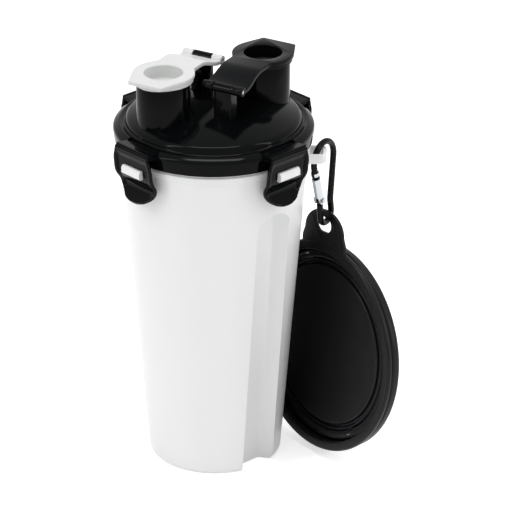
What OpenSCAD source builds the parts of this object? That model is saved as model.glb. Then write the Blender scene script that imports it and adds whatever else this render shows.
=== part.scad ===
// Travel bottle for dogs: a tapered two-chamber bottle with a domed lid,
// one flip cap over the water spout and one over the food spout, four side
// clips, and a folding silicone bowl that hangs from a carabiner.
// Origin at the centre of the base, +Z up. The partition lies in the XZ plane.

/* [Bottle body] */
// Height of the bottle body up to its rim
body_h = 185.3; // [182:0.1:195]
// Radius of the base
base_r = 35; // [32:0.5:38]
// Radius of the neck under the lid
neck_r = 49.5; // [48.5:0.1:49.8]
// Height at which the taper ends and the neck begins
shoulder_z = 176; // [168:0.5:177]
// Wall thickness of the body
wall = 2; // [1.4:0.1:2.6]
// Thickness of the floor
floor_t = 2.6; // [2:0.1:4]
// Thickness of the partition between the chambers
partition_t = 2; // [1.4:0.1:3]
// Radius of the rounded bottom edge
base_edge_r = 3.2; // [1:0.1:4]
// Depth of the two side grooves
groove_d = 8.5; // [5:0.1:10]
// Half width of a groove at its web
groove_web_hw = 6.5; // [4:0.1:8]
// Half width of a groove at its mouth
groove_mouth_hw = 12; // [10:0.1:14]
// Height of the rounded top of a groove
groove_top_z = 151.3; // [120:0.1:155]
// How far the collar bead stands out from the neck
collar_out = 0.9; // [0.4:0.1:1.1]
// Height of the collar bead
collar_h = 3.5; // [2:0.1:4]

/* [Strap lug] */
// Direction of the lug, from +X towards +Y
lug_turn = 46.5; // [42:0.5:50]
// Distance from the axis to the lug's outer end
lug_reach = 58.9; // [58.7:0.1:60]
// Width of the lug
lug_w = 13.6; // [13.4:0.1:16]
// Thickness of the lug
lug_t = 4.8; // [3:0.1:5]
// Bar left outside and beside the lug's eye
lug_bar = 1.8; // [1.4:0.1:2]
// Height of the lug's top
lug_top_z = 173.4; // [172.4:0.1:173.6]

/* [Lid] */
// Largest radius of the lid's flange
lid_r = 52.5; // [52.2:0.1:54]
// Height of the skirt's lower edge
skirt_z = 181; // [180.8:0.1:182]
// Height of the rim bead's top
bead_top_z = 190.2; // [190:0.1:190.6]
// Radius of the dome's foot
dome_r = 46; // [44.5:0.1:46.5]
// Height of the dome's top
dome_top_z = 204; // [203:0.5:205]
// Wall of the dome
dome_wall = 2.2; // [1.6:0.1:3]
// Clearance between the skirt and the body's neck
skirt_gap = 0.9; // [0.3:0.1:1.1]
// Thickness of the gasket
gasket_t = 2; // [1.5:0.1:2.5]

/* [Spouts and flip caps] */
// Turn of the cap lanes about the bottle's axis
lane_turn = 17.1; // [10:0.1:25]
// Distance of each cap's lane from the axis
lane_off = 15.4; // [15.2:0.1:17]
// Distance along the lane from the axis to the spout
spout_u = 24.6; // [22:0.1:25]
// Distance along the lane from the axis to the hinge, on the other side
hinge_u = 15.9; // [15:0.1:18]
// Outer radius of a spout
spout_r = 14.1; // [13.5:0.1:14.6]
// Wall of a spout
spout_wall = 1.8; // [1.5:0.1:2.2]
// Height of a spout's rim
spout_top_z = 218.4; // [216:0.1:219]
// Height of the cap hinges
hinge_z = 217.5; // [216.5:0.1:218]
// Height of a closed cap's top face
cap_top_z = 223.2; // [222.5:0.1:226]
// Thickness of a cap's plate
cap_t = 2.2; // [1.8:0.1:2.6]
// Radius of a cap's round head
cap_r = 16.2; // [16:0.1:16.5]
// Distance from the spout's axis to the end of the lifting tab
tab_reach = 17.3; // [16.8:0.1:20]
// Height of a cap's round head
head_h = 4.4; // [3.6:0.1:6]
// Width of the lifting tab
tab_w = 19; // [14:0.5:22]
// Radius of the round dish in a cap
dish_r = 10; // [8:0.1:10.4]
// Depth of the round dish in a cap
dish_d = 8; // [6:0.1:9]
// Length of the hinge barrel
barrel_l = 23.4; // [22:0.1:25.4]
// Radius of the hinge barrel
barrel_r = 2.5; // [2.3:0.1:2.9]
// Width of the hinge posts
post_w = 10; // [8:0.1:10.4]
// Depth of the hinge posts
post_d = 6.6; // [4.6:0.1:7]
// Length of the lid's own knuckle
knuckle_l = 11; // [8:0.1:14]
// Radius of a hinge pin
pin_r = 1; // [0.8:0.05:1.4]

/* [Side clips] */
// Distance from the axis to a clip's hinge line
clip_hinge_x = 57; // [56:0.1:57.5]
// Height of a clip's hinge line
clip_hinge_z = 189.2; // [188.6:0.1:189.6]
// Height of a clip's lower end
clip_end_z = 161.2; // [158:0.1:163]
// Largest width of a clip
clip_w = 27.6; // [25.6:0.1:31]
// Width of a clip at its hinge line
clip_hinge_w = 24.4; // [22:0.1:25]
// Thickness of a clip
clip_t = 1.9; // [1.5:0.1:2.2]
// Width of the body's catches
catch_w = 13.6; // [11:0.1:15]
// Height of the body's catches
catch_h = 4.9; // [4:0.1:5]
// Distance from the axis to a catch's face
catch_x = 58.2; // [57.8:0.1:58.8]

/* [Carabiner] */
// Radius of the carabiner's rod
rod_r = 1.7; // [1.6:0.05:1.8]
// Radius of the carabiner's top bow
bow_r = 9.8; // [9.7:0.1:10.2]
// Height of the top bow's centre
bow_z = 166; // [165.9:0.1:166.4]
// Radius of the lower bow
loop_r = 5.4; // [5.2:0.1:5.8]
// Height of the lower bow's centre
loop_z = 134.3; // [134:0.1:134.6]
// Radius of the gate
gate_r = 2.2; // [1.8:0.05:2.3]
// Turn of the carabiner's plane about +Z
hook_turn = 105; // [102:0.5:108]
// Radius of the gate's rivet
rivet_r = 0.8; // [0.6:0.05:1]

/* [Bowl] */
// Outer radius of the bowl's rim
bowl_r = 57.5; // [54:0.5:59]
// Width of the rim's flat face
rim_w = 5.3; // [4.5:0.1:6]
// Thickness of the rim
rim_t = 3; // [2.4:0.1:3.2]
// Thickness of the tab
tab_t = 2.2; // [1.8:0.1:2.4]
// Depth of the folded bowl
bowl_d = 9.6; // [8.5:0.1:11]
// Radius of the bowl's flat floor
bowl_floor_r = 43.5; // [38:0.1:44]
// Thickness of the silicone
skin_t = 2; // [1.4:0.1:2.2]
// Depth of the floor and the fold's crest behind the rim's face
crest_d = 3.8; // [3:0.1:4.4]
// Half height of the oblong hole in the tab
eye_r = 4.1; // [4:0.1:4.6]
// Half of what the hole is wider than high
eye_half = 1.9; // [1:0.1:3]
// Distance from the bowl's centre to the hole in the tab
eye_off = 67.4; // [66.9:0.1:68]
// Height of the hole in the tab when the bowl hangs
eye_z = 127.4; // [127.1:0.1:127.6]
// Direction that the bowl's outside faces, from +X towards +Y
bowl_turn = 84.4; // [84:0.1:86]
// Lean of the hanging bowl, its lower edge nearer the bottle
bowl_lean = 6.2; // [5.8:0.1:6.4]
// Roll of the hanging bowl in its own plane
bowl_roll = -5.5; // [-7:0.5:-4]

/* [Hidden] */

PP_WHITE = [0.93, 0.93, 0.92];
PP_BLACK = [0.05, 0.05, 0.055];
SILICONE = [0.07, 0.07, 0.08];
SEAL_GREY = [0.75, 0.75, 0.74];
STEEL = [0.75, 0.75, 0.77];

$fn = 96;

// Fits
run_gap = 0.05;      // pin in a bore that turns on it
side_gap = 0.3;      // between knuckles, and between soft or curved neighbours

// Body taper
taper = atan((neck_r - base_r) / shoulder_z);
function body_r(z) = base_r + (neck_r - base_r) * z / shoulder_z;
function arc_points(cx, cz, r, a0, a1, n) =
    [for (i = [0 : n]) [cx + r * cos(a0 + (a1 - a0) * i / n), cz + r * sin(a0 + (a1 - a0) * i / n)]];
function blend(t) = (1 - cos(180 * t)) / 2;

// Lid levels
gasket_z = body_h;
seat_z = gasket_z + gasket_t;
skirt_in_r = neck_r + skirt_gap;
trough_z = bead_top_z - 1.4;
bead_r = 2.9;
crown_r = dome_r - 3;
crown_drop = 8.9;
crown_z = dome_top_z - crown_drop;
dome_sphere_r = (crown_r * crown_r + crown_drop * crown_drop) / (2 * crown_drop);
gasket_in_r = neck_r - wall - 0.5;
gasket_out_r = skirt_in_r - 0.2;
dome_room_r = dome_r - dome_wall - 1;

// Clip lands on the lid
land_hw = clip_hinge_w / 2 + 0.8;
land_t = 2.6;
bead_cut_hw = land_hw - 0.5;
clip_bead_r = 1.1;
seat_r = clip_bead_r + run_gap;
land_x = clip_hinge_x - clip_t / 2 - side_gap - 0.05;
land_z = clip_hinge_z + clip_bead_r;

// Catches
catch_top_z = skirt_z - 0.5;
catch_z = catch_top_z - catch_h;
window_gap = 0.4;

// Caps
spout_bore_r = spout_r - spout_wall;
plug_r = spout_bore_r - 0.3;
seal_wire_r = 0.7;
seal_z = -1.5;
seal_r = spout_bore_r - run_gap - seal_wire_r;
cap_reach = spout_u + hinge_u;
cap_rise = cap_top_z - hinge_z;
arm_w = barrel_l;
neck_w = 22;
cap_skirt_in_r = spout_r + side_gap;
skirt_step = 0.8;

// Carabiner
hook_at = 57.62;          // distance of the top bow's centre from the bottle's axis
hook_dir = lug_turn + 5.3; // its direction
loop_x = 2.4;             // lower bow's centre, across from the top bow's centre
spine_lean = 7;
nose_lean = 16;
bend_r = 10;
bend_z = 140.8;
gate_run = 19.9;
nose_rod = 1;
nose_l = 4.4;
nose_t = 1.4;
tongue_t = 1.5;
slot_gap = 0.15;
gate_gap = 0.4;
rod_step = 0.03;
rod_lap = 0.3;
gate_l = gate_run - nose_rod - gate_gap;
function on_circle(c, r, a) = c + r * [cos(a), sin(a)];
function tangent_angle(c, r, p, side) =
    atan2(p[1] - c[1], p[0] - c[0]) + side * acos(r / norm(p - c));
bow_c = [0, bow_z];
loop_c = [loop_x, loop_z];
spine_top = on_circle(bow_c, bow_r, -spine_lean);
nose_root = on_circle(bow_c, bow_r, 180 + nose_lean);
gate_foot = nose_root + gate_run * [sin(nose_lean), -cos(nose_lean)];
bend_p = spine_top - (spine_top[1] - bend_z) * [tan(spine_lean), 1];
loop_right_a = tangent_angle(loop_c, loop_r, bend_p, -1);
loop_left_a = tangent_angle(loop_c, loop_r, gate_foot, 1);
bend_cut = bend_r * tan((spine_lean + loop_right_a) / 2);
bend_start = bend_p + bend_cut * [sin(spine_lean), cos(spine_lean)];
bend_c = bend_start + bend_r * [cos(spine_lean), -sin(spine_lean)];

// Bowl
eye_at = 57.85;           // distance of the tab's hole from the bottle's axis
eye_dir = lug_turn + 7.25; // its direction
bowl_wall_r = bowl_r - 1;
wall_in_r = bowl_wall_r - skin_t - 1.2;
ring_out_r = wall_in_r - side_gap - 0.6;
ring_in_r = bowl_floor_r + 3.5;
crest_r = (ring_out_r + ring_in_r) / 2;
crest_w = 1.7;
ring_skin = 1.6;
ring_deep = bowl_d - 0.3;
base_out_r = ring_in_r - side_gap;
tab_foot_hw = 16.8;

// ---------------------------------------------------------------- body
module body_solid() {
    rotate_extrude(convexity = 6)
        polygon(concat(
            [[0, 0]],
            arc_points(base_r - base_edge_r + 0.2, base_edge_r, base_edge_r, -90, -5, 6),
            [
                [body_r(shoulder_z), shoulder_z],
                [neck_r + collar_out - 0.4, shoulder_z],
                [neck_r + collar_out, shoulder_z + 0.5],
                [neck_r + collar_out, shoulder_z + collar_h - 0.5],
                [neck_r + collar_out - 0.4, shoulder_z + collar_h],
                [neck_r, shoulder_z + collar_h],
                [neck_r, body_h - 0.5],
                [neck_r - 0.5, body_h],
                [0, body_h]
            ]));
}

module body_room() {
    rotate_extrude(convexity = 6)
        polygon(concat(
            [[0, floor_t]],
            arc_points(base_r - wall - base_edge_r, floor_t + base_edge_r, base_edge_r, -90, -5, 5),
            [
                [body_r(shoulder_z) - wall, shoulder_z],
                [neck_r - wall, body_h + 1],
                [0, body_h + 1]
            ]));
}

// Space of one side groove at +X, grown by the wall where it bounds a chamber
module groove_space(grow) {
    intersection() {
        translate([base_r, 0, 0])
            rotate([0, taper, 0])
                translate([0, 0, -20])
                    linear_extrude(height = body_h + 20)
                        offset(r = grow + 1.5)
                            offset(delta = -1.5)
                                polygon([
                                    [-groove_d, -groove_web_hw],
                                    [0, -groove_mouth_hw],
                                    [8, -groove_mouth_hw - 3],
                                    [8, groove_mouth_hw + 3],
                                    [0, groove_mouth_hw],
                                    [-groove_d, groove_web_hw]
                                ]);
        rotate([90, 0, 90])
            linear_extrude(height = 90)
                union() {
                    translate([-groove_mouth_hw - 1 - grow, -20])
                        square([2 * (groove_mouth_hw + 1 + grow), groove_top_z - groove_mouth_hw + 20]);
                    translate([0, groove_top_z - groove_mouth_hw])
                        circle(r = groove_mouth_hw + 1 + grow, $fn = 64);
                }
    }
}

module catch_block() {
    translate([0, catch_w / 2, 0])
        rotate([90, 0, 0])
            linear_extrude(height = catch_w)
                polygon([
                    [neck_r - 1.2, catch_z],
                    [catch_x - 1, catch_z],
                    [catch_x, catch_z + 0.8],
                    [catch_x, catch_top_z - 1.2],
                    [catch_x - 0.9, catch_top_z],
                    [neck_r - 1.2, catch_top_z]
                ]);
}

module lug() {
    lug_round = 4;
    eye_in = neck_r + 0.5;
    eye_out = lug_reach - lug_bar;
    rotate([0, 0, lug_turn])
        translate([0, 0, lug_top_z - lug_t])
            difference() {
                linear_extrude(height = lug_t)
                    offset(r = lug_round, $fn = 48)
                        offset(delta = -lug_round)
                            translate([neck_r - 4, -lug_w / 2])
                                square([lug_reach - neck_r + 4, lug_w]);
                translate([0, 0, -1])
                    linear_extrude(height = lug_t + 2)
                        offset(r = 1.4, $fn = 24)
                            offset(delta = -1.4)
                                translate([eye_in, -lug_w / 2 + lug_bar])
                                    square([eye_out - eye_in, lug_w - 2 * lug_bar]);
            }
}

module bottle_body() {
    color(PP_WHITE)
        difference() {
            union() {
                difference() {
                    body_solid();
                    for (side = [0, 180])
                        rotate([0, 0, side]) groove_space(0);
                }
                for (turn = [0 : 90 : 270])
                    rotate([0, 0, turn]) catch_block();
                lug();
            }
            difference() {
                body_room();
                translate([-neck_r - 5, -partition_t / 2, -1])
                    cube([2 * neck_r + 10, partition_t, body_h + 1]);
                for (side = [0, 180])
                    rotate([0, 0, side]) groove_space(wall);
            }
        }
}

// ---------------------------------------------------------------- lid
module lid_revolve() {
    rotate_extrude(convexity = 8)
        polygon(concat(
            [
                [0, skirt_z + 4],
                [skirt_in_r, skirt_z + 4],
                [skirt_in_r, skirt_z],
                [lid_r - 1.0, skirt_z],
                [lid_r - 0.7, skirt_z + 0.3],
                [lid_r, bead_top_z - bead_r - 0.5]
            ],
            arc_points(lid_r - bead_r, bead_top_z - bead_r, bead_r, 0, 120, 8),
            [
                [lid_r - 4.8, trough_z + 0.3],
                [lid_r - 5.2, trough_z],
                [dome_r + 0.8, trough_z],
                [dome_r, trough_z + 0.6],
                [dome_r, crown_z - 3.3],
                [dome_r - 0.3, crown_z - 2.2],
                [dome_r - 1, crown_z - 1.2],
                [dome_r - 2, crown_z - 0.45]
            ],
            [for (i = [12 : -1 : 0])
                let (r = crown_r * i / 12)
                [r, dome_top_z - dome_sphere_r + sqrt(dome_sphere_r * dome_sphere_r - r * r)]]
        ));
}

module lid_room() {
    rotate_extrude(convexity = 8)
        polygon(concat(
            [
                [0, skirt_z - 5],
                [skirt_in_r, skirt_z - 5],
                [skirt_in_r, seat_z],
                [dome_room_r, seat_z]
            ],
            [for (i = [12 : -1 : 0])
                let (r = dome_room_r * i / 12)
                [r, dome_top_z - dome_wall - dome_sphere_r
                    + sqrt(dome_sphere_r * dome_sphere_r - r * r)]]
        ));
}

// Shelf whose edge is a round seat for a clip's hinge bead
module clip_land() {
    difference() {
        translate([0, land_hw, 0])
            rotate([90, 0, 0])
                linear_extrude(height = 2 * land_hw)
                    polygon([
                        [dome_r + 1, trough_z - land_t],
                        [land_x - 0.6, land_z - land_t],
                        [land_x, land_z - land_t + 0.6],
                        [land_x, clip_hinge_z - 0.3],
                        [clip_hinge_x - 0.3, clip_hinge_z - 0.3],
                        [clip_hinge_x - 0.3, land_z],
                        [dome_r + 1, trough_z + 0.1]
                    ]);
        translate([clip_hinge_x, land_hw + 1, clip_hinge_z])
            rotate([90, 0, 0])
                cylinder(r = seat_r, h = 2 * land_hw + 2, $fn = 32);
    }
}

module at_lanes() {
    for (side = [0, 180])
        rotate([0, 0, lane_turn + side])
            children();
}

module hinge_post() {
    translate([lane_off, -hinge_u, 0]) {
        translate([-post_w / 2, -1.8, dome_top_z - 7])
            cube([post_w, 3.9, hinge_z - dome_top_z + 7]);
        // deeper below the cap's arm
        translate([-post_w / 2, -1.8, dome_top_z - 7])
            cube([post_w, post_d, hinge_z - dome_top_z + 4.6]);
        translate([-knuckle_l / 2, 0, hinge_z])
            rotate([0, 90, 0])
                cylinder(r = barrel_r, h = knuckle_l, $fn = 48);
        translate([1.2, 0, 0])
            rotate([90, 0, -90])
                linear_extrude(height = 2.4)
                    polygon([
                        [0, dome_top_z - 7],
                        [-11, dome_top_z - 7],
                        [-11, dome_top_z - 1],
                        [-1.8, hinge_z - 4.5],
                        [0, hinge_z - 4.5]
                    ]);
    }
}

module lid_shell() {
    color(PP_BLACK)
        union() {
            difference() {
                union() {
                    difference() {
                        lid_revolve();
                        for (turn = [0 : 90 : 270])
                            rotate([0, 0, turn])
                                translate([dome_r + 0.6, -bead_cut_hw, trough_z])
                                    cube([12, 2 * bead_cut_hw, 6]);
                    }
                    for (turn = [0 : 90 : 270])
                        rotate([0, 0, turn]) clip_land();
                    at_lanes() {
                        translate([lane_off, spout_u, dome_top_z - 14])
                            cylinder(r = spout_r, h = spout_top_z - dome_top_z + 14);
                        hinge_post();
                    }
                }
                lid_room();
                at_lanes() {
                    translate([lane_off, spout_u, skirt_z])
                        cylinder(r = spout_bore_r, h = spout_top_z - skirt_z + 1);
                    translate([lane_off - barrel_l, -hinge_u, hinge_z])
                        rotate([0, 90, 0])
                            cylinder(r = pin_r, h = 2 * barrel_l, $fn = 32);
                }
            }
            // Rib that closes the partition
            intersection() {
                translate([-dome_room_r - 1, -1.5, seat_z])
                    cube([2 * dome_room_r + 2, 3, 40]);
                translate([0, 0, dome_top_z - dome_wall / 2 - dome_sphere_r])
                    sphere(r = dome_sphere_r, $fn = 120);
            }
        }
}

module lid_gasket() {
    color(SEAL_GREY)
        union() {
            translate([0, 0, gasket_z])
                difference() {
                    cylinder(r = gasket_out_r, h = gasket_t);
                    translate([0, 0, -1])
                        cylinder(r = gasket_in_r, h = gasket_t + 2);
                }
            translate([-gasket_in_r - 0.5, -2, gasket_z])
                cube([2 * gasket_in_r + 1, 4, gasket_t]);
        }
}

// ---------------------------------------------------------------- clips
// Centre line of a clip's profile, from its hinge down to its lip
clip_drop = clip_hinge_z - clip_end_z;
clip_line = [
    [clip_hinge_x, clip_hinge_z],
    [clip_hinge_x - 0.05, clip_hinge_z - 2],
    [clip_hinge_x - 0.3, clip_hinge_z - 5],
    [clip_hinge_x - 0.7, clip_hinge_z - 9],
    [clip_hinge_x - 1.1, clip_hinge_z - 12.5],
    [clip_hinge_x - 1.8, clip_hinge_z - 14.9],
    [clip_hinge_x - 3.0, clip_hinge_z - 16.8],
    [clip_hinge_x - 4.2, clip_hinge_z - 18.6],
    [clip_hinge_x - 4.8, clip_hinge_z - 20.6],
    [clip_hinge_x - 4.7, clip_hinge_z - 22.6],
    [clip_hinge_x - 4.0, clip_hinge_z - clip_drop + 3.8],
    [clip_hinge_x - 2.8, clip_hinge_z - clip_drop + 2.2],
    [clip_hinge_x - 1.3, clip_hinge_z - clip_drop + 1.1]
];
function unit(v) = v / norm(v);
function line_dir(p, i) = unit(p[min(i + 1, len(p) - 1)] - p[max(i - 1, 0)]);
function side_points(p, off) =
    [for (i = [0 : len(p) - 1]) p[i] + off * [-line_dir(p, i)[1], line_dir(p, i)[0]]];
function backwards(p) = [for (i = [len(p) - 1 : -1 : 0]) p[i]];

module clip_sheet() {
    tip = clip_line[len(clip_line) - 1];
    union() {
        translate([0, clip_w, 0])
            rotate([90, 0, 0])
                linear_extrude(height = 2 * clip_w)
                    polygon(concat(
                        side_points(clip_line, clip_t / 2),
                        backwards(side_points(clip_line, -clip_t / 2))
                    ));
        translate([clip_hinge_x, clip_w, clip_hinge_z])
            rotate([90, 0, 0])
                cylinder(r = clip_bead_r, h = 2 * clip_w, $fn = 32);
        translate([tip[0], clip_w, tip[1]])
            rotate([90, 0, 0])
                cylinder(r = clip_t / 2, h = 2 * clip_w, $fn = 24);
    }
}

module clip_face() {
    hw = clip_w / 2;
    polygon([
        [clip_hinge_w / 2, clip_hinge_z + 2],
        [clip_hinge_w / 2, clip_hinge_z - 0.6],
        [hw - 1, clip_hinge_z - 3],
        [hw, clip_hinge_z - 7],
        [hw, clip_hinge_z - 12.5],
        [hw - 0.5, clip_end_z + 10],
        [hw - 1.6, clip_end_z + 7.4],
        [hw - 3.6, clip_end_z + 4.6],
        [hw - 6.6, clip_end_z + 2.2],
        [hw - 10.2, clip_end_z + 0.6],
        [0, clip_end_z - 0.4],
        [-hw + 10.2, clip_end_z + 0.6],
        [-hw + 6.6, clip_end_z + 2.2],
        [-hw + 3.6, clip_end_z + 4.6],
        [-hw + 1.6, clip_end_z + 7.4],
        [-hw + 0.5, clip_end_z + 10],
        [-hw, clip_hinge_z - 12.5],
        [-hw, clip_hinge_z - 7],
        [-hw + 1, clip_hinge_z - 3],
        [-clip_hinge_w / 2, clip_hinge_z - 0.6],
        [-clip_hinge_w / 2, clip_hinge_z + 2]
    ]);
}

module clip() {
    window_w = catch_w + 2 * window_gap;
    difference() {
        intersection() {
            clip_sheet();
            rotate([90, 0, 90])
                linear_extrude(height = clip_hinge_x + 20)
                    clip_face();
        }
        translate([neck_r, -window_w / 2, catch_z - window_gap])
            cube([20, window_w, catch_h + 2 * window_gap + 0.3]);
    }
}

module clip_right() { color(PP_BLACK) clip(); }
module clip_back() { color(PP_BLACK) rotate([0, 0, 90]) clip(); }
module clip_left() { color(PP_BLACK) rotate([0, 0, 180]) clip(); }
module clip_front() { color(PP_BLACK) rotate([0, 0, 270]) clip(); }

// ---------------------------------------------------------------- caps
// A cap in its own frame: hinge axis along X through the origin, spout towards +Y
module cap_plan() {
    corner_a = atan2(tab_reach, tab_w / 2);
    touch_a = corner_a - acos(cap_r / norm([tab_w / 2, tab_reach]));
    touch_r = cap_r - 0.2;
    translate([0, cap_reach])
        polygon([
            [touch_r * cos(touch_a), touch_r * sin(touch_a)],
            [tab_w / 2, tab_reach],
            [-tab_w / 2, tab_reach],
            [-touch_r * cos(touch_a), touch_r * sin(touch_a)],
            [0, 0]
        ]);
    polygon([
        [-arm_w / 2, -barrel_r],
        [arm_w / 2, -barrel_r],
        [arm_w / 2, 4],
        [arm_w / 2 - 0.6, 9],
        [neck_w / 2, 17],
        [neck_w / 2, cap_reach - 6],
        [-neck_w / 2, cap_reach - 6],
        [-neck_w / 2, 17],
        [-arm_w / 2 + 0.6, 9],
        [-arm_w / 2, 4]
    ]);
}

module cap_side() {
    arm_run = 19;
    arm_z = 0.6;
    arm_lift = cap_rise - arm_z;
    tip_y = cap_reach + tab_reach;
    polygon(concat(
        [for (i = [0 : 12]) [arm_run * i / 12 + 1.6, arm_z + arm_lift * blend(i / 12)]],
        [
            [tip_y - 0.3, cap_rise],
            [tip_y, cap_rise - 0.3],
            [tip_y, cap_rise - cap_t + 0.3],
            [tip_y - 0.3, cap_rise - cap_t]
        ],
        [for (i = [12 : -1 : 1]) [arm_run * i / 12 + 2.3, arm_z - cap_t + arm_lift * blend(i / 12)]],
        [[1, arm_z - cap_t], [1, arm_z]]
    ));
}

module cap_body() {
    plug_z = cap_rise - dish_d - 1.4;
    outer_l = (barrel_l - knuckle_l) / 2 - side_gap;
    difference() {
        union() {
            intersection() {
                translate([0, 0, -20])
                    linear_extrude(height = 40)
                        union() cap_plan();
                translate([-40, 0, 0])
                    rotate([90, 0, 90])
                        linear_extrude(height = 80)
                            cap_side();
            }
            translate([0, cap_reach, cap_rise - head_h])
                difference() {
                    union() {
                        cylinder(r = cap_r - skirt_step, h = head_h - 0.1);
                        translate([0, 0, head_h - cap_t])
                            cylinder(r = cap_r, h = cap_t);
                    }
                    translate([0, 0, -1])
                        cylinder(r = cap_skirt_in_r, h = head_h - cap_t + 1);
                }
            translate([0, cap_reach, plug_z])
                cylinder(r = plug_r, h = cap_rise - plug_z - cap_t / 2);
            for (s = [-1, 1])
                translate([s * (barrel_l - outer_l) / 2, 0, 0])
                    rotate([0, 90, 0])
                        cylinder(r = barrel_r, h = outer_l, center = true, $fn = 48);
        }
        translate([0, cap_reach, cap_rise - dish_d])
            cylinder(r = dish_r, h = dish_d + 1);
        // room for the lid's knuckle and its post
        translate([-knuckle_l / 2 - side_gap, 0, 0])
            rotate([0, 90, 0])
                cylinder(r = barrel_r + side_gap, h = knuckle_l + 2 * side_gap, $fn = 48);
        translate([-barrel_l, 0, 0])
            rotate([0, 90, 0])
                cylinder(r = pin_r + run_gap, h = 2 * barrel_l, $fn = 32);
        // groove for the seal
        translate([0, cap_reach, seal_z])
            rotate_extrude()
                translate([seal_r, 0])
                    circle(r = seal_wire_r, $fn = 24);
    }
}

module cap_pin() {
    rotate([0, 90, 0])
        cylinder(r = pin_r, h = barrel_l - 0.4, center = true, $fn = 32);
}

module cap_seal() {
    translate([0, cap_reach, seal_z])
        rotate_extrude()
            translate([seal_r, 0])
                circle(r = seal_wire_r, $fn = 24);
}

module at_hinge(side) {
    rotate([0, 0, lane_turn + side])
        translate([lane_off, -hinge_u, hinge_z])
            children();
}

module food_cap() { color(PP_BLACK) at_hinge(0) cap_body(); }
module food_cap_pin() { color(STEEL) at_hinge(0) cap_pin(); }
module food_cap_seal() { color(SEAL_GREY) at_hinge(0) cap_seal(); }
module water_cap() { color(PP_WHITE) at_hinge(180) cap_body(); }
module water_cap_pin() { color(STEEL) at_hinge(180) cap_pin(); }
module water_cap_seal() { color(SEAL_GREY) at_hinge(180) cap_seal(); }

// ---------------------------------------------------------------- carabiner
// Its own frame: XZ is its plane, X = 0 under the top bow's centre
module at_hook() {
    rotate([0, 0, hook_dir])
        translate([hook_at, 0, 0])
            rotate([0, 0, hook_turn - hook_dir])
                children();
}

// Straight stretch, a hair thinner than the bows, with its ends let into them
module rod(p, q) {
    d = q - p;
    translate([p[0], 0, p[1]])
        rotate([0, atan2(d[0], d[1]), 0])
            translate([0, 0, -rod_lap])
                cylinder(r = rod_r - rod_step, h = norm(d) + 2 * rod_lap, $fn = 32);
}

module bow(c, r, a0, a1) {
    translate([c[0], 0, c[1]])
        rotate([90, 0, 0])
            rotate([0, 0, a0])
                rotate_extrude(angle = a1 - a0)
                    translate([r, 0])
                        circle(r = rod_r, $fn = 32);
}

// Frame of the gate: its foot at the origin, its length along +Z
module at_gate() {
    translate([gate_foot[0], 0, gate_foot[1]])
        rotate([0, -nose_lean, 0])
            children();
}

module carabiner_frame() {
    loop_left = on_circle(loop_c, loop_r, loop_left_a);
    tongue_foot = loop_left + 0.7 * (gate_foot - loop_left);
    tongue_d = gate_foot - tongue_foot;
    color(PP_BLACK)
        at_hook()
            difference() {
                union() {
                    bow(bow_c, bow_r, -spine_lean, 180 + nose_lean);
                    rod(bend_start, spine_top);
                    bow(bend_c, bend_r, 180 - spine_lean, 180 + loop_right_a);
                    rod(on_circle(loop_c, loop_r, loop_right_a), on_circle(bend_c, bend_r, 180 + loop_right_a));
                    bow(loop_c, loop_r, loop_left_a - 360, loop_right_a);
                    rod(loop_left, tongue_foot);
                    // tongue under the rivet
                    translate([tongue_foot[0], -tongue_t / 2, tongue_foot[1]])
                        rotate([0, atan2(tongue_d[0], tongue_d[1]), 0])
                            translate([-1.3, 0, -1])
                                cube([2.6, tongue_t, norm(tongue_d) + 1]);
                    translate([gate_foot[0], tongue_t / 2, gate_foot[1]])
                        rotate([90, 0, 0])
                            cylinder(r = 1.5, h = tongue_t, $fn = 32);
                    // nose and its cross head
                    at_gate() {
                        translate([0, 0, gate_run - nose_rod])
                            cylinder(r = rod_r - rod_step, h = nose_rod + rod_lap, $fn = 32);
                        translate([-1.3, -nose_t / 2, gate_run - nose_rod - nose_l])
                            cube([2.6, nose_t, nose_l + 0.5]);
                        translate([-0.2, 1.7, gate_run - nose_rod - nose_l + 0.9])
                            rotate([90, 0, 0])
                                cylinder(r = 0.8, h = 3.4, $fn = 24);
                    }
                }
                translate([gate_foot[0], 5, gate_foot[1]])
                    rotate([90, 0, 0])
                        cylinder(r = rivet_r, h = 10, $fn = 24);
            }
}

module carabiner_gate() {
    color(STEEL)
        at_hook()
            at_gate()
                difference() {
                    union() {
                        cylinder(r = gate_r, h = gate_l, $fn = 48);
                        rotate([90, 0, 0])
                            cylinder(r = gate_r, h = 2 * gate_r - 0.6, center = true, $fn = 48);
                    }
                    // fork over the tongue
                    translate([-4, -tongue_t / 2 - slot_gap, -4])
                        cube([8, tongue_t + 2 * slot_gap, 6.2]);
                    // slot for the nose
                    translate([-4, -nose_t / 2 - slot_gap, gate_l + gate_gap - nose_l - 0.3])
                        cube([8, nose_t + 2 * slot_gap, nose_l + 1]);
                    // room for the cross head, open on the outer side
                    translate([-4, -2.6, gate_l + gate_gap - nose_l - 0.2])
                        cube([4.9, 5.2, 2.2]);
                    rotate([90, 0, 0])
                        cylinder(r = rivet_r + run_gap, h = 10, center = true, $fn = 24);
                    // bore of the spring
                    cylinder(r = 0.6, h = 9, $fn = 24);
                }
}

module carabiner_rivet() {
    color(STEEL)
        at_hook()
            translate([gate_foot[0], 0, gate_foot[1]])
                rotate([90, 0, 0]) {
                    cylinder(r = rivet_r, h = 2 * gate_r + 1.2, center = true, $fn = 24);
                    for (s = [-1, 1])
                        translate([0, 0, s * (gate_r + 0.35)])
                            cylinder(r = 1.4, h = 0.6, center = true, $fn = 24);
                }
}

module carabiner_spring() {
    color(STEEL)
        at_hook()
            at_gate()
                translate([0, 0, 1.7])
                    cylinder(r = 0.4, h = 7, $fn = 16);
}

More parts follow.
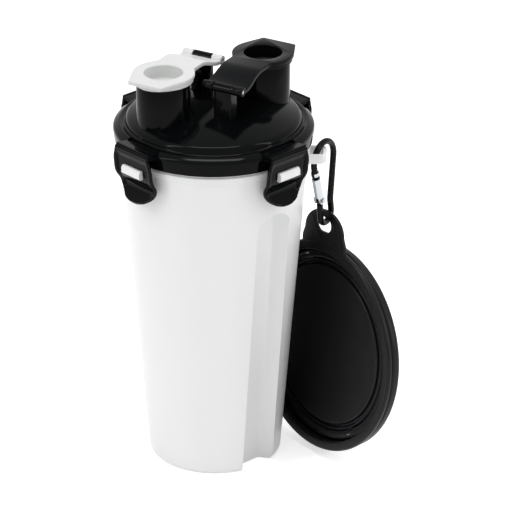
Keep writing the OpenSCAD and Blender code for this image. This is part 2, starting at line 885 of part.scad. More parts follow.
// ---------------------------------------------------------------- bowl
// Its own frame: hole of the tab at the origin, +Z up in the bowl's plane,
// +Y the way its outside faces
module at_eye() {
    rotate([0, 0, eye_dir])
        translate([eye_at, 0, eye_z])
            rotate([0, 0, bowl_turn - 90 - eye_dir])
                rotate([-bowl_lean, 0, 0])
                    rotate([0, bowl_roll, 0])
                        children();
}

// Turns a profile of [radius, depth] about the bowl's axis
module bowl_turned() {
    at_eye()
        translate([0, 0, -eye_off])
            rotate([-90, 0, 0])
                rotate_extrude(convexity = 6, $fn = 180)
                    children();
}

module bowl_rim() {
    neck = rim_t + 1.1;
    color(SILICONE)
        union() {
            bowl_turned()
                polygon(concat(
                    [[bowl_r - rim_w, 0.5], [bowl_r - rim_w + 0.5, 0]],
                    arc_points(bowl_r - 1.1, 1.1, 1.1, -90, 0, 4),
                    arc_points(bowl_r - 1.1, rim_t - 1.1, 1.1, 0, 90, 4),
                    [[bowl_wall_r - 1, rim_t], [bowl_wall_r - 1, neck]],
                    arc_points(bowl_wall_r - 1.2, neck + 1.2, 1.2, -60, 0, 3),
                    arc_points(bowl_wall_r - 2.6, bowl_d - 2.2, 2.2, 0, 90, 6),
                    [
                        [wall_in_r - 0.4, bowl_d],
                        [wall_in_r - 0.4, bowl_d - 1.2],
                        [wall_in_r, bowl_d - 1.8],
                        [wall_in_r, rim_t],
                        [bowl_r - rim_w, rim_t - 0.4]
                    ]
                ));
            at_eye()
                rotate([-90, 0, 0])
                    linear_extrude(height = tab_t)
                        difference() {
                            hull() {
                                translate([0, 4.2])
                                    scale([1.2, 1]) circle(r = 12.3, $fn = 72);
                                translate([-tab_foot_hw, 8.6])
                                    square([2 * tab_foot_hw, 4.2]);
                            }
                            translate([0, eye_off])
                                circle(r = bowl_r - 1.6, $fn = 180);
                            hull()
                                for (s = [-1, 1])
                                    translate([s * eye_half, 0])
                                        circle(r = eye_r, $fn = 48);
                        }
        }
}

// One wall of the fold behind the rim: side is 1 for the outer, -1 for the inner
module fold_wall(side, far_r) {
    root_r = crest_r + side * side_gap / 2;
    color(SILICONE)
        bowl_turned()
            polygon(concat(
                [[root_r, crest_d]],
                [for (i = [0 : 5])
                    let (a = 18 * i)
                    [far_r + side * crest_w * (sin(a) - 1), crest_d + crest_w * (1 - cos(a))]],
                [
                    [far_r, ring_deep],
                    [far_r - side * ring_skin, ring_deep],
                    [far_r - side * ring_skin, crest_d + crest_w + 1.4],
                    [root_r, crest_d + crest_w + 0.6]
                ]
            ));
}

module bowl_outer_fold() { fold_wall(1, ring_out_r); }
module bowl_inner_fold() { fold_wall(-1, ring_in_r); }

module bowl_base() {
    floor_d = crest_d + 0.2;
    trough_d = ring_deep - skin_t;
    color(SILICONE)
        bowl_turned()
            polygon([
                [0, floor_d],
                [bowl_floor_r - 0.7, floor_d],
                [bowl_floor_r, floor_d + 0.7],
                [bowl_floor_r + 0.7, trough_d],
                [base_out_r - ring_skin, trough_d],
                [base_out_r - ring_skin, floor_d + 1.1],
                [base_out_r - ring_skin + 0.5, floor_d + 0.6],
                [base_out_r - 0.5, floor_d + 0.6],
                [base_out_r, floor_d + 1.1],
                [base_out_r, ring_deep],
                [bowl_floor_r - 0.6, ring_deep],
                [bowl_floor_r - 1.9, floor_d + skin_t + 0.3],
                [0, floor_d + skin_t]
            ]);
}

bottle_body();
lid_shell();
lid_gasket();
clip_right();
clip_back();
clip_left();
clip_front();
water_cap();
water_cap_pin();
water_cap_seal();
food_cap();
food_cap_pin();
food_cap_seal();
carabiner_frame();
carabiner_gate();
carabiner_rivet();
carabiner_spring();
bowl_rim();
bowl_outer_fold();
bowl_inner_fold();
bowl_base();
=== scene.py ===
import math

import bpy
from mathutils import Matrix, Vector


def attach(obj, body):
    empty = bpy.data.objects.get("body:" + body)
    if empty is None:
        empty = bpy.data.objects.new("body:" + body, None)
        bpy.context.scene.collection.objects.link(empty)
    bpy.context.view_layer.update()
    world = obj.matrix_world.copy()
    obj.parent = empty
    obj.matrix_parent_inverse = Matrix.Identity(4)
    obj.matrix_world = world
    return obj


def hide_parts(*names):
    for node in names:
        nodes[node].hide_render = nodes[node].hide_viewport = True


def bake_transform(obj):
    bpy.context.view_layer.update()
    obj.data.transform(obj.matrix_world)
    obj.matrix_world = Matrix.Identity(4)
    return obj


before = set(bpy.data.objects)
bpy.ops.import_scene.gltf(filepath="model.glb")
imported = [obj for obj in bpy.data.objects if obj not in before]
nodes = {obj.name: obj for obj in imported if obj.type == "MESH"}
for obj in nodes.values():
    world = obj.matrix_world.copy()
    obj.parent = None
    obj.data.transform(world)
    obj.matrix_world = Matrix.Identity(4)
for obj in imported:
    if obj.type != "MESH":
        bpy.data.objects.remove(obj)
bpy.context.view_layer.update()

# ------------------------------------------------------------ bottle body
# One blow moulding of white polypropylene: two chambers, a collar, four catches and
# the strap lug. It stands on the floor and everything else is fixed to it or hangs
# from it. Its CAD node is shown as it is, in its plastic.
MM = 0.001  # a millimetre, in the scene's metres
gloss_patches = 60.0  # per metre, so about 17 mm across
skin_depth = 0.05  # of a moulded skin's texture


def linear(code):
    """An sRGB hex colour as linear RGBA."""
    channels = [int(code[i:i + 2], 16) / 255 for i in (1, 3, 5)]
    return tuple(c / 12.92 if c <= 0.04045 else ((c + 0.055) / 1.055) ** 2.4 for c in channels) + (1.0,)


def add_node(holder, kind, values=(), links=()):
    """Adds a node to a material or world, sets its sockets and links other outputs into it."""
    node = holder.node_tree.nodes.new(kind)
    for name, value in values:
        if name in node.inputs:
            node.inputs[name].default_value = value
        else:
            setattr(node, name, value)
    for socket, output in links:
        holder.node_tree.links.new(output, node.inputs[socket])
    return node


def surface(name, code, rough, vary=0.04, grain=0.0, grain_mm=0.6, **sockets):
    """A material: rough is its mean roughness, vary how far that drifts from patch to patch, and
    grain the strength of a fine skin texture of a size in millimetres."""
    mat = bpy.data.materials.new(name)
    mat.use_nodes = True
    shader = mat.node_tree.nodes["Principled BSDF"]
    shader.inputs["Base Color"].default_value = linear(code)
    for key, value in sockets.items():
        shader.inputs[key.replace("_", " ")].default_value = value
    place = add_node(mat, "ShaderNodeTexCoord")
    drift = add_node(mat, "ShaderNodeTexNoise", [("Scale", gloss_patches), ("Detail", 3.0)],
                     [("Vector", place.outputs["Object"])])
    gloss = [("From Min", 0.3), ("From Max", 0.7), ("To Min", rough - vary), ("To Max", rough + vary)]
    spread = add_node(mat, "ShaderNodeMapRange", gloss, [("Value", drift.outputs["Fac"])])
    mat.node_tree.links.new(spread.outputs["Result"], shader.inputs["Roughness"])
    if grain:
        skin = add_node(mat, "ShaderNodeTexNoise", [("Scale", 1000 / grain_mm), ("Detail", 2.0)],
                        [("Vector", place.outputs["Object"])])
        bump = add_node(mat, "ShaderNodeBump", [("Strength", grain), ("Distance", skin_depth * MM)],
                        [("Height", skin.outputs["Fac"])])
        mat.node_tree.links.new(bump.outputs["Normal"], shader.inputs["Normal"])
    return mat


def paint(obj, mat):
    """Makes mat the only material of the piece."""
    obj.data.materials.clear()
    obj.data.materials.append(mat)


# blow moulded polypropylene: a plain white with a soft, wide sheen
white_pp = surface("white_polypropylene", "#EBECEB", 0.32, Specular_IOR_Level=0.35)
paint(nodes["bottle_body"], white_pp)

# ------------------------------------------------------------ lid shell
# One injection moulding of gloss black polypropylene: a crowned dome in a rounded
# flange, two spout tubes, two hinge posts and four lands that carry the side clips.
# It sits on the body's collar, and the clips hold it down.
skirt_r = 50.4  # inside of the skirt
flange_under = 187.3  # underside of the flange
dome_r = 108.3  # radius of the dome, as part of a sphere
dome_outside, dome_inside, dome_middle = 95.7, 93.5, 94.6  # heights of the sphere's centre
clip_pin_x, clip_pin_z = 57, 189.2  # the line that a side clip turns on
bead_r = 1.1  # of the clip's bead along that line
land_half = 12.4  # half the width of a land
front_land_top, back_land_top = 190.9, 189.8  # the right and front lands stand higher
# a lane runs from a cap's hinge to its spout, and the water's is the food's turned half round
lane_turn = 17.1
lane_x = 15.4  # distance of a lane's middle line from the bottle's axis
spout_y, spout_low, spout_top = 24.6, 190, 218.4
spout_r, bore_r = 14.1, 12.3
cap_pin_y, cap_pin_z = -15.9, 217.5  # the line that a flip cap turns on
post_half, post_low, post_top = 5, 197, 218.1
knuckle_r, pin_r = 2.5, 1  # of the posts' and the caps' knuckles, and of the caps' pins


def arc(cx, cy, r, a0, a1, n):
    """Points on an arc, for outlines."""
    return [(cx + r * math.cos(math.radians(a0 + (a1 - a0) * i / n)),
             cy + r * math.sin(math.radians(a0 + (a1 - a0) * i / n))) for i in range(n + 1)]


def rectangle(x0, y0, x1, y1):
    return [(x0, y0), (x1, y0), (x1, y1), (x0, y1)]


def dome(centre, reach, steps, crowd=1):
    """Points on the dome from its rim to the axis, crowded towards the rim if crowd is over 1."""
    across = [reach * (1 - (i / steps) ** crowd) for i in range(steps + 1)]
    return [(r, centre + math.sqrt(dome_r ** 2 - r * r)) for r in across]


def start(name):
    """A new piece of one point at the origin, open in edit mode."""
    bpy.ops.object.select_all(action="DESELECT")
    bpy.ops.mesh.primitive_plane_add(size=MM, location=(0, 0, 0))
    obj = bpy.context.object
    obj.name = name
    bpy.ops.object.mode_set(mode="EDIT")
    bpy.ops.mesh.select_all(action="SELECT")
    bpy.ops.mesh.merge(type="CENTER")
    return obj


def merge_doubles():
    """Joins points of the open mesh that lie on each other."""
    bpy.ops.mesh.select_all(action="SELECT")
    bpy.ops.mesh.remove_doubles(threshold=1e-6)


def draw(points):
    """Extrudes the one point along a closed outline of (x, y, z) in millimetres."""
    bpy.ops.transform.translate(value=[c * MM for c in points[0]])
    for p, q in zip(points, points[1:] + points[:1]):
        step = [(b - a) * MM for a, b in zip(p, q)]
        bpy.ops.mesh.extrude_region_move(TRANSFORM_OT_translate={"value": step})
    merge_doubles()


def close_up(obj):
    """Merges doubles, turns the faces outwards and leaves edit mode."""
    merge_doubles()
    bpy.ops.mesh.normals_make_consistent(inside=False)
    bpy.ops.object.mode_set(mode="OBJECT")
    return obj


def turned(name, outline, steps=144):
    """Spins a closed outline of (radius, height) about Z."""
    obj = start(name)
    draw([(r, 0, z) for r, z in outline])
    bpy.ops.mesh.spin(steps=steps, angle=2 * math.pi, center=(0, 0, 0), axis=(0, 0, 1))
    return close_up(obj)


def rod(name, r, low, high, steps):
    """A plain cylinder about Z."""
    return turned(name, [(0, low), (r, low), (r, high), (0, high)], steps)


def roller(name, r, half, steps, chamfer=0.3):
    """A cylinder about Z with chamfered ends, as long each way from the origin."""
    end = [(0, half), (r - chamfer, half), (r, half - chamfer)]
    return turned(name, [(x, -z) for x, z in end] + end[::-1], steps)


def slab(name, plan, low, high):
    """A plan of (x, y) filled and extruded from one height to another."""
    obj = start(name)
    draw([(x, y, low) for x, y in plan])
    bpy.ops.mesh.edge_face_add()
    bpy.ops.mesh.extrude_region_move(TRANSFORM_OT_translate={"value": (0, 0, (high - low) * MM)})
    return close_up(obj)


def pick(obj):
    """Makes the piece the only one selected."""
    bpy.ops.object.select_all(action="DESELECT")
    obj.select_set(True)
    bpy.context.view_layer.objects.active = obj


def put(obj, matrix):
    """Places a piece and bakes the place into its mesh."""
    pick(obj)
    obj.matrix_world = matrix
    bpy.ops.object.transform_apply(location=True, rotation=True, scale=True)
    return obj


def apply(obj, kind, **values):
    """Adds a modifier and applies it."""
    pick(obj)
    mod = obj.modifiers.new(kind.lower(), kind)
    for key, value in values.items():
        setattr(mod, key, value)
    bpy.ops.object.modifier_apply(modifier=mod.name)


def combine(obj, other, how):
    """Boolean with another piece, which is used up."""
    apply(obj, "BOOLEAN", operation=how, object=other, solver="EXACT")
    bpy.data.objects.remove(other, do_unlink=True)


def round_edges(obj, width, segments, angle, **more):
    """Rounds the edges that are sharper than an angle, by a width in millimetres."""
    apply(obj, "BEVEL", width=width * MM, segments=segments, limit_method="ANGLE",
          angle_limit=math.radians(angle), **more)


def smooth(obj, angle):
    """Shades the piece smooth, except at edges sharper than an angle."""
    pick(obj)
    bpy.ops.object.shade_smooth_by_angle(angle=math.radians(angle))


def about_z(degrees):
    return Matrix.Rotation(math.radians(degrees), 4, "Z")


def shift(x, y, z):
    """A move in millimetres."""
    return Matrix.Translation((x * MM, y * MM, z * MM))


# turns for a piece that stands along Z, so that it lies along Y or along X
along_y = Matrix.Rotation(math.radians(90), 4, "X")
along_x = Matrix.Rotation(math.radians(90), 4, "Y")
# stands a flat plan on edge: its x runs to -Y, its y runs up, and it is thick along X
on_edge = Matrix(((0, 0, 1, 0), (-1, 0, 0, 0), (0, 1, 0, 0), (0, 0, 0, 1)))
at_clip_pin = shift(clip_pin_x, 0, clip_pin_z)
lane = {"food": about_z(lane_turn), "water": about_z(lane_turn + 180)}
at_spout = shift(lane_x, spout_y, 0)
at_post = shift(lane_x, cap_pin_y, 0)
at_cap_pin = shift(lane_x, cap_pin_y, cap_pin_z)

# polypropylene from a polished mould: deep black with sharp highlights
gloss_pp = surface("gloss_black_polypropylene", "#060708", 0.11, vary=0.02, Specular_IOR_Level=0.07)

# the outer form, solid at first: skirt, rounded flange, its bead, a shallow ditch and the dome
profile = [(0, 183), (skirt_r, 183), (skirt_r, 181), (51.5, 181), (51.8, 181.3), (52.5, 186.8)]
profile += arc(50.3, 187.7, 2.2, 0, 50, 7)
profile += arc(44.0, 180.2, 12, 50, 62, 5)[1:]
profile += arc(48.88, 189.38, 1.6, 62, 95, 4)[1:]
profile += [(48.3, 190.85), (47.6, 190.6), (46.9, 190.5), (46.5, 190.7), (46.15, 191.1)]
profile += arc(42.5, 191.5, 3.5, 0, 66, 7)
profile += dome(dome_outside, 43.4, 16, crowd=1.2)
lid = turned("lid_shell_moulded", profile)

# the flange's bead stops where a land comes
for quarter in range(4):
    gap = slab("land_gap", rectangle(46.6, 0.5 - land_half, 58, land_half - 0.5), 189.9, 196)
    combine(lid, put(gap, about_z(90 * quarter)), "DIFFERENCE")

# the lands, each with a round seat for a clip's bead
for quarter in range(4):
    top = front_land_top if quarter in (0, 3) else back_land_top
    section = [(47, 186.2), (55.1, 187.7), (55.65, 188.3), (55.65, 188.9), (56.7, 188.9)]
    section += [(56.7, top - 0.4), (56.55, top - 0.1), (56.2, top), (55.6, top - 0.05)]
    section += [(50, top - 0.75), (47, top - 1.1)]
    land = put(slab("land", section, -land_half, land_half), along_y)
    seat = put(rod("seat", bead_r + 0.05, -15, 15, 32), at_clip_pin @ along_y)
    combine(land, seat, "DIFFERENCE")
    combine(lid, put(land, about_z(90 * quarter)), "UNION")

# each lane's spout tube, and its hinge post with a brace and a knuckle
tube = [(0, spout_low), (spout_r, spout_low), (spout_r, spout_top - 0.5)]
tube += [(spout_r - 0.2, spout_top - 0.1), (spout_r - 0.6, spout_top), (0, spout_top)]
for turn in lane.values():
    combine(lid, put(turned("spout", tube, 96), turn @ at_spout), "UNION")
    post = slab("post", rectangle(-post_half, -1.8, post_half, 4.8), post_low, post_top)
    notch = slab("notch", rectangle(-post_half, 2.1, post_half, 6), post_top - 3, 222)
    combine(post, notch, "DIFFERENCE")
    round_edges(post, 0.35, 2, 30)
    combine(lid, put(post, turn @ at_post), "UNION")
    side = [(0, post_low), (-11, post_low), (-11, 203), (-1.8, 213), (0, 213)]
    combine(lid, put(slab("brace", side, -1.2, 1.2), turn @ at_post @ on_edge), "UNION")
    knuckle = roller("knuckle", knuckle_r, 5.5, 40)
    combine(lid, put(knuckle, turn @ at_cap_pin @ along_x), "UNION")

# the hollow under the dome, the spouts' bores and the bores of the caps' pins
hollow = [(0, 176), (skirt_r, 176), (skirt_r, flange_under), (42.8, flange_under)]
hollow += dome(dome_inside, 42.8, 12)
combine(lid, turned("hollow", hollow, 96), "DIFFERENCE")
for turn in lane.values():
    combine(lid, put(rod("bore", bore_r, 181, 220, 96), turn @ at_spout), "DIFFERENCE")
    combine(lid, put(rod("hole", pin_r, -20, 20, 24), turn @ at_cap_pin @ along_x), "DIFFERENCE")

# the rib under the dome that closes on the body's partition
ceiling = [(0, flange_under), (43.5, flange_under), (43.5, 192)]
rib = turned("rib", ceiling + dome(dome_middle, 43, 8), 64)
combine(rib, slab("strip", rectangle(-60, -1.5, 60, 1.5), 180, 210), "INTERSECT")
combine(lid, rib, "UNION")
smooth(lid, 32)
paint(lid, gloss_pp)
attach(lid, "bottle")
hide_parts("lid_shell")

# ------------------------------------------------------------ side clips
# Four strips of the lid's gloss black plastic, each with a round bead along the top
# that turns in a land's seat, a window that snaps over a catch on the body, and a lip
# to pull. One is modelled and the other three are copies.
strip_thick = 1.9
tray_depth = 1.0  # of the panel, below its raised side walls
side_wall = 1.3  # width of a side wall
tray_top, tray_end = 187.2, 163.6  # heights between which the panel is sunk
lip_slope = 1.2  # of the lip's last stretch, outwards for each millimetre down
bead_half = 12.2
widest = 13.8
window_half, window_low, window_high = 7.2, 175.2, 180.9
# the strip from the side, as (distance from the axis, height)
bend = [(clip_pin_x, clip_pin_z), (56.95, 187.2), (56.7, 184.2), (56.3, 180.2), (55.9, 176.7),
        (55.2, 174.3), (54, 172.4), (52.8, 170.6), (52.2, 168.6), (52.3, 166.6), (53, 165),
        (54.2, 163.4), (55.7, 162.3)]
# its edge from the front, as (half width, height)
edge = [(bead_half, clip_pin_z), (bead_half, 188.6), (12.8, 186.2), (13.5, 184.4), (widest, 182.2),
        (widest, 176.7), (13.5, 172.4), (13.25, 170.4), (12.85, 168.6), (12.25, 167.1),
        (11.4, 165.8), (10.2, 164.5), (8.7, 163.4), (6.8, 162.4), (4.6, 161.7), (2.4, 161.3),
        (0, 161.2)]


def bend_at(z):
    """Distance of the strip's middle from the axis at a height, on a smooth curve through bend."""
    if z <= bend[-1][1]:
        return bend[-1][0] + (bend[-1][1] - z) * lip_slope
    for k in range(len(bend) - 1):
        (xa, za), (xb, zb) = bend[k], bend[k + 1]
        if zb <= z <= za:
            before = bend[max(k - 1, 0)]
            after = bend[min(k + 2, len(bend) - 1)]
            t = (za - z) / (za - zb)
            ma = (xb - before[0]) / (before[1] - zb) * (za - zb)
            mb = (after[0] - xa) / (za - after[1]) * (za - zb)
            return ((2 * t ** 3 - 3 * t ** 2 + 1) * xa + (t ** 3 - 2 * t ** 2 + t) * ma
                    + (3 * t ** 2 - 2 * t ** 3) * xb + (t ** 3 - t ** 2) * mb)
    return bend[0][0]


def half_width_at(z):
    """Half the strip's width at a height, straight between the points of edge."""
    half = widest
    for (ya, za), (yb, zb) in zip(edge, edge[1:]):
        if zb <= z <= za and za > zb:
            half = yb + (ya - yb) * (z - zb) / (za - zb)
    return half


def ramp(value, start_at, length):
    """0 up to a start, then straight up to 1 over a length."""
    return min(max((value - start_at) / length, 0), 1)


def cut_across(places, axis):
    """Cuts the open mesh by planes square to X (0), Y (1) or Z (2), at places in millimetres."""
    square = Vector([float(k == axis) for k in range(3)])
    for place in places:
        bpy.ops.mesh.select_all(action="SELECT")
        bpy.ops.mesh.bisect(plane_co=place * MM * square, plane_no=square)


def twin(obj, name):
    """A copy of a piece, with its own mesh."""
    copy = obj.copy()
    copy.data = obj.data.copy()
    copy.name = name
    bpy.context.scene.collection.objects.link(copy)
    return copy


clip = start("clip_right_moulded")
draw([(0, y, z) for y, z in edge] + [(0, -y, z) for y, z in edge[-2::-1]])
bpy.ops.mesh.edge_face_add()
cut_across([188.3, 187.2, 186, 184.8, 183.4, 182, window_high, 179.4, 178, 176.7, window_low], 2)
cut_across([174.2 - k for k in range(12)] + [162.4], 2)
columns = [0, 1.6, 3, 4.4, 5.8, window_half, 8.1, 9, 9.9, 10.9, 11.95, 12.45]
cut_across([-y for y in columns[:0:-1]] + columns, 1)
bpy.ops.object.mode_set(mode="OBJECT")
for face in clip.data.polygons:
    beside, height = abs(face.center.y) / MM, face.center.z / MM
    face.select = beside < window_half and window_low < height < window_high
bpy.ops.object.mode_set(mode="EDIT")
bpy.ops.mesh.delete(type="FACE")
bpy.ops.mesh.select_all(action="DESELECT")
bpy.ops.object.mode_set(mode="OBJECT")
# the flat strip is bent, and its panel sinks between the side walls and fades at both ends
for v in clip.data.vertices:
    z = v.co.z / MM
    inside = ramp(half_width_at(z) - abs(v.co.y) / MM, side_wall, 0.5)
    sunk = tray_depth * inside * ramp(tray_top - z, 0, 1.5) * ramp(z, tray_end, 2.5)
    v.co.x = (bend_at(z) - sunk) * MM
apply(clip, "SOLIDIFY", thickness=strip_thick * MM, offset=0)
round_edges(clip, 0.4, 2, 50)
combine(clip, put(roller("bead", bead_r, bead_half, 32), at_clip_pin @ along_y), "UNION")
smooth(clip, 40)
paint(clip, gloss_pp)
for quarter, side in enumerate(("right", "back", "left", "front")):
    piece = clip
    if quarter:
        piece = put(twin(clip, "clip_%s_moulded" % side), about_z(90 * quarter))
    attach(piece, "clip_" + side)
    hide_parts("clip_" + side)

# ------------------------------------------------------------ flip caps
# One polypropylene moulding each, white over the water and satin black over the food:
# a head with a lifting tab, a round dish and a plug below, and a bent arm that ends in
# two knuckles on a steel pin. Each is drawn with that pin at the origin, its head to +Y.
head_y = spout_y - cap_pin_y
head_r = 16.2
cap_thick = 2.2
arm_low, arm_rise = 0.6, 5.1  # height of the arm over its pin, and its climb to the head
arm_start, arm_run = 1.6, 19  # where the climb starts, and how far it runs
knuckle_in, knuckle_out = 5.8, 11.7  # where a knuckle starts and ends, to each side
tab_start, tab_extra = 51, 1.8  # only the water cap's tab is drawn out from there, by this much

# textured mould: black with a broad, soft highlight
satin_pp = surface("satin_black_polypropylene", "#07080A", 0.26, grain=0.2, grain_mm=0.5,
                   Specular_IOR_Level=0.08)
# plain mould: white with a faint unevenness, drawn coarser than it is so that it shows. Its white is painted
# darker than the body's, though both are the same plastic: painted shade that offsets the top lamp's light
# on the cap's upper face
shaded_cap_white = surface("white_cap_polypropylene_painted_shade", "#CFD0CF", 0.34, grain=0.15, grain_mm=1.5,
                    Specular_IOR_Level=0.4)

# the right half of the outline, from the knuckle's end up to the tab
half = [(knuckle_out, 1), (knuckle_out, 4), (11.5, 8), (11.15, 13), (11, 18)]
half += arc(16, 26.6, 5, 180, 139, 6)
half += [(x, y + head_y) for x, y in arc(0, 0, head_r, -38, 26, 14)]
half += [(9.9, 57.3), (9.2, 57.8)]
cap = start("food_cap_moulded")
draw([(x, y, 0) for x, y in half] + [(-x, y, 0) for x, y in half[::-1]])
bpy.ops.mesh.edge_face_add()
cut_across([1 + 1.25 * k for k in range(1, 17)], 1)
bpy.ops.object.mode_set(mode="OBJECT")
for v in cap.data.vertices:
    along = ramp(v.co.y / MM, arm_start, arm_run)
    v.co.z = (arm_low + arm_rise * (1 - math.cos(math.pi * along)) / 2) * MM
if cap.data.polygons[0].normal.z < 0:
    cap.data.flip_normals()
apply(cap, "SOLIDIFY", thickness=cap_thick * MM, offset=-1)
round_edges(cap, 0.4, 3, 50)

# the plug with its outer ring, and the dish in the top
plug = [(0, -3.7), (11.6, -3.7), (12, -3.3), (12, 4.6), (14.4, 4.6), (14.4, 1.5), (14.6, 1.3)]
plug += [(15.2, 1.3), (15.4, 1.5), (15.4, 4.8), (0, 4.8)]
combine(cap, put(turned("plug", plug, 96), shift(0, head_y, 0)), "UNION")
dish = [(0, -2.3), (8.4, -2.3)] + arc(8.6, -0.9, 1.4, -80, 0, 5) + [(10, 4.9)]
lip_angles = [math.radians(a) for a in (165, 145, 125, 105)]
dish += [(10.7 + 0.7 * math.cos(a), 5 + 0.75 * math.sin(a)) for a in lip_angles]
dish += [(10.6, 5.8), (10.6, 7), (0, 7)]
combine(cap, put(turned("dish", dish, 96), shift(0, head_y, 0)), "DIFFERENCE")

# room for the post's knuckle, the cap's own two knuckles, and the pin's bore
combine(cap, put(rod("room", knuckle_r + 0.3, -knuckle_in, knuckle_in, 40), along_x), "DIFFERENCE")
for low in (-knuckle_out, knuckle_in):
    high = low + knuckle_out - knuckle_in
    end = [(0, 0), (2.15, 0), (2.4, 0.1), (knuckle_r, 0.35)]
    outline = [(r, low + d) for r, d in end] + [(r, high - d) for r, d in end[::-1]]
    combine(cap, put(turned("knuckle", outline, 40), along_x), "UNION")
combine(cap, put(rod("pin_hole", pin_r + 0.05, -13, 13, 24), along_x), "DIFFERENCE")
smooth(cap, 38)
water_cap = twin(cap, "water_cap_moulded")
for v in water_cap.data.vertices:
    v.co.y += tab_extra * MM * ramp(v.co.y / MM, tab_start, 6)
# the water cap gets the white with painted shade
for piece, kind, mat, mat_slot in ((cap, "food", satin_pp, "black_cap_pp"),
                                   (water_cap, "water", shaded_cap_white, "white_pp")):
    put(piece, lane[kind] @ at_cap_pin)
    paint(piece, mat)
    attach(piece, kind + "_flip_cap")
    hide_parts(kind + "_cap")

# ------------------------------------------------------------ bowl
# One moulding of soft black silicone, folded flat: a rim with a hanging tab, a wall
# folded back on itself in two rings, and a flat floor. Each ring is a piece of its own,
# because each moves when the bowl is pulled deep. The tab hangs on the carabiner.
eye_azimuth, eye_reach, eye_height = 53.75, 57.85, 127.4  # place of the tab's eye
bowl_azimuth = 84.4  # the way that the bowl deepens
bowl_tilt_x, bowl_tilt_y = -6.2, -5.5  # how it hangs askew on the carabiner
bowl_drop = 67.4  # from the tab's eye to the bowl's middle

# moulded silicone: a soft black that dulls its highlights
silicone = surface("black_silicone", "#0D0D10", 0.31, vary=0.02, grain=0.25, grain_mm=0.5,
                   Specular_IOR_Level=0.17)

hang = about_z(eye_azimuth) @ shift(eye_reach, 0, eye_height)
hang = hang @ about_z(bowl_azimuth - 90 - eye_azimuth)
hang = hang @ Matrix.Rotation(math.radians(bowl_tilt_x), 4, "X")
hang = hang @ Matrix.Rotation(math.radians(bowl_tilt_y), 4, "Y")
upright = Matrix.Rotation(math.radians(-90), 4, "X")
folded = hang @ shift(0, 0, -bowl_drop) @ upright

# the rings' outlines, as (radius, depth)
rim = [(52.2, 2.6), (52.2, 0.9)] + arc(53.1, 0.9, 0.9, 180, 270, 5)
rim += arc(56.3, 1.2, 1.2, 270, 360, 6) + arc(56.3, 1.9, 1.2, 0, 70, 5)
rim += [(55.9, 3.1), (55.65, 3.3), (55.55, 3.6), (55.6, 4.0), (55.85, 4.25)]
rim += arc(55.3, 5.4, 1.2, -50, 0, 4) + arc(54.3, 7.4, 2.2, 5, 90, 7)
rim += [(52.9, 9.6), (52.9, 8.4), (53.3, 7.8), (53.3, 3.4), (52.9, 2.9)]

# the two folds are alike, one turned outwards and the other inwards from where they meet
fold_meet = 49.7
fold = [(0.15, 3.8)] + arc(1, 5.5, 1.7, 270, 360, 6)
fold += [(2.7, 9.0), (2.4, 9.3), (1.4, 9.3), (1.1, 9.0), (1.1, 6.9), (0.8, 6.3), (0.15, 6.1)]
outer = [(fold_meet + out, depth) for out, depth in fold]
inner = [(fold_meet - out, depth) for out, depth in fold]

base = [(0, 4.35), (14, 4.3), (26, 4.2), (36, 4.08), (42.3, 4.0)] + arc(42.4, 5.0, 1.0, -85, 0, 6)
base += [(43.6, 5.5), (43.9, 5.9), (44.3, 6.05), (44.75, 6.0), (45.0, 5.8), (45.1, 5.35)]
base += arc(45.85, 5.35, 0.75, 185, 360, 8)
base += [(46.7, 5.6), (46.7, 9.0), (46.4, 9.3), (43.2, 9.3), (42.8, 9.0), (41.9, 6.7), (41.2, 6.3), (0, 6.4)]
for name, outline, body in (("rim", rim, "bowl"), ("outer_fold", outer, "bowl_outer_fold"),
                            ("inner_fold", inner, "bowl_inner_fold"), ("base", base, "bowl_base")):
    ring = put(turned("bowl_%s_moulded" % name, outline, 180), folded)
    smooth(ring, 50)
    paint(ring, silicone)
    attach(ring, body)
    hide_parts("bowl_" + name)

# the thin webs between the rings, which on the real bowl roll over as it is pulled deep; here each is drawn
# once, as it lies with the bowl folded flat, and is attached to no ring
for first, then, r_in, r_out, d_first, d_then in (
        ("bowl", "bowl_outer_fold", 52.5, 52.8, 9.4, 6.0),
        ("bowl_outer_fold", "bowl_inner_fold", 49.62, 49.78, 6.0, 4.0),
        ("bowl_inner_fold", "bowl_base", 46.78, 46.92, 9.2, 6.2)):
    depths = [d_first + (d_then - d_first) * i / 10 for i in range(11)]
    outline = [(r_out, d) for d in depths] + [(r_in, d) for d in depths[::-1]]
    web = put(turned(then + "_web", outline, 180), folded)
    smooth(web, 50)
    paint(web, silicone)
    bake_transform(web)

# the tab: a flat arch with the eye for the carabiner, flared where it joins the rim
tab_half = 17.6
tab_front, tab_back = 0.15, 2.2  # depths of its two faces
arch_r, arch_stretch, arch_y = 12.3, 1.27, 4.2  # the arch is an arc, stretched sideways
eye_r, eye_half = 4.1, 1.9  # the eye is a slot with round ends
flare = [(tab_half, 13.4), (tab_half, 10), (17.4, 8.8), (16.9, 7.4), (16.2, 5.8)]
arch = [(arch_stretch * x, arch_y - y) for x, y in arc(0, 0, arch_r, 0, 180, 40)]
plan = flare + arch + [(-x, y) for x, y in flare[::-1]]
tab = slab("bowl_tab_moulded", plan, tab_front, tab_back)
eye = [(x + eye_half, y) for x, y in arc(0, 0, eye_r, -90, 90, 16)]
eye += [(x - eye_half, y) for x, y in arc(0, 0, eye_r, 90, 270, 16)]
combine(tab, slab("eye", eye, -1, 4), "DIFFERENCE")
combine(tab, put(rod("inside", 55, -1, 4, 180), shift(0, bowl_drop, 0)), "DIFFERENCE")
put(tab, hang @ upright)
round_edges(tab, 0.55, 3, 40, miter_outer="MITER_ARC")
smooth(tab, 40)
paint(tab, silicone)
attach(tab, "bowl")

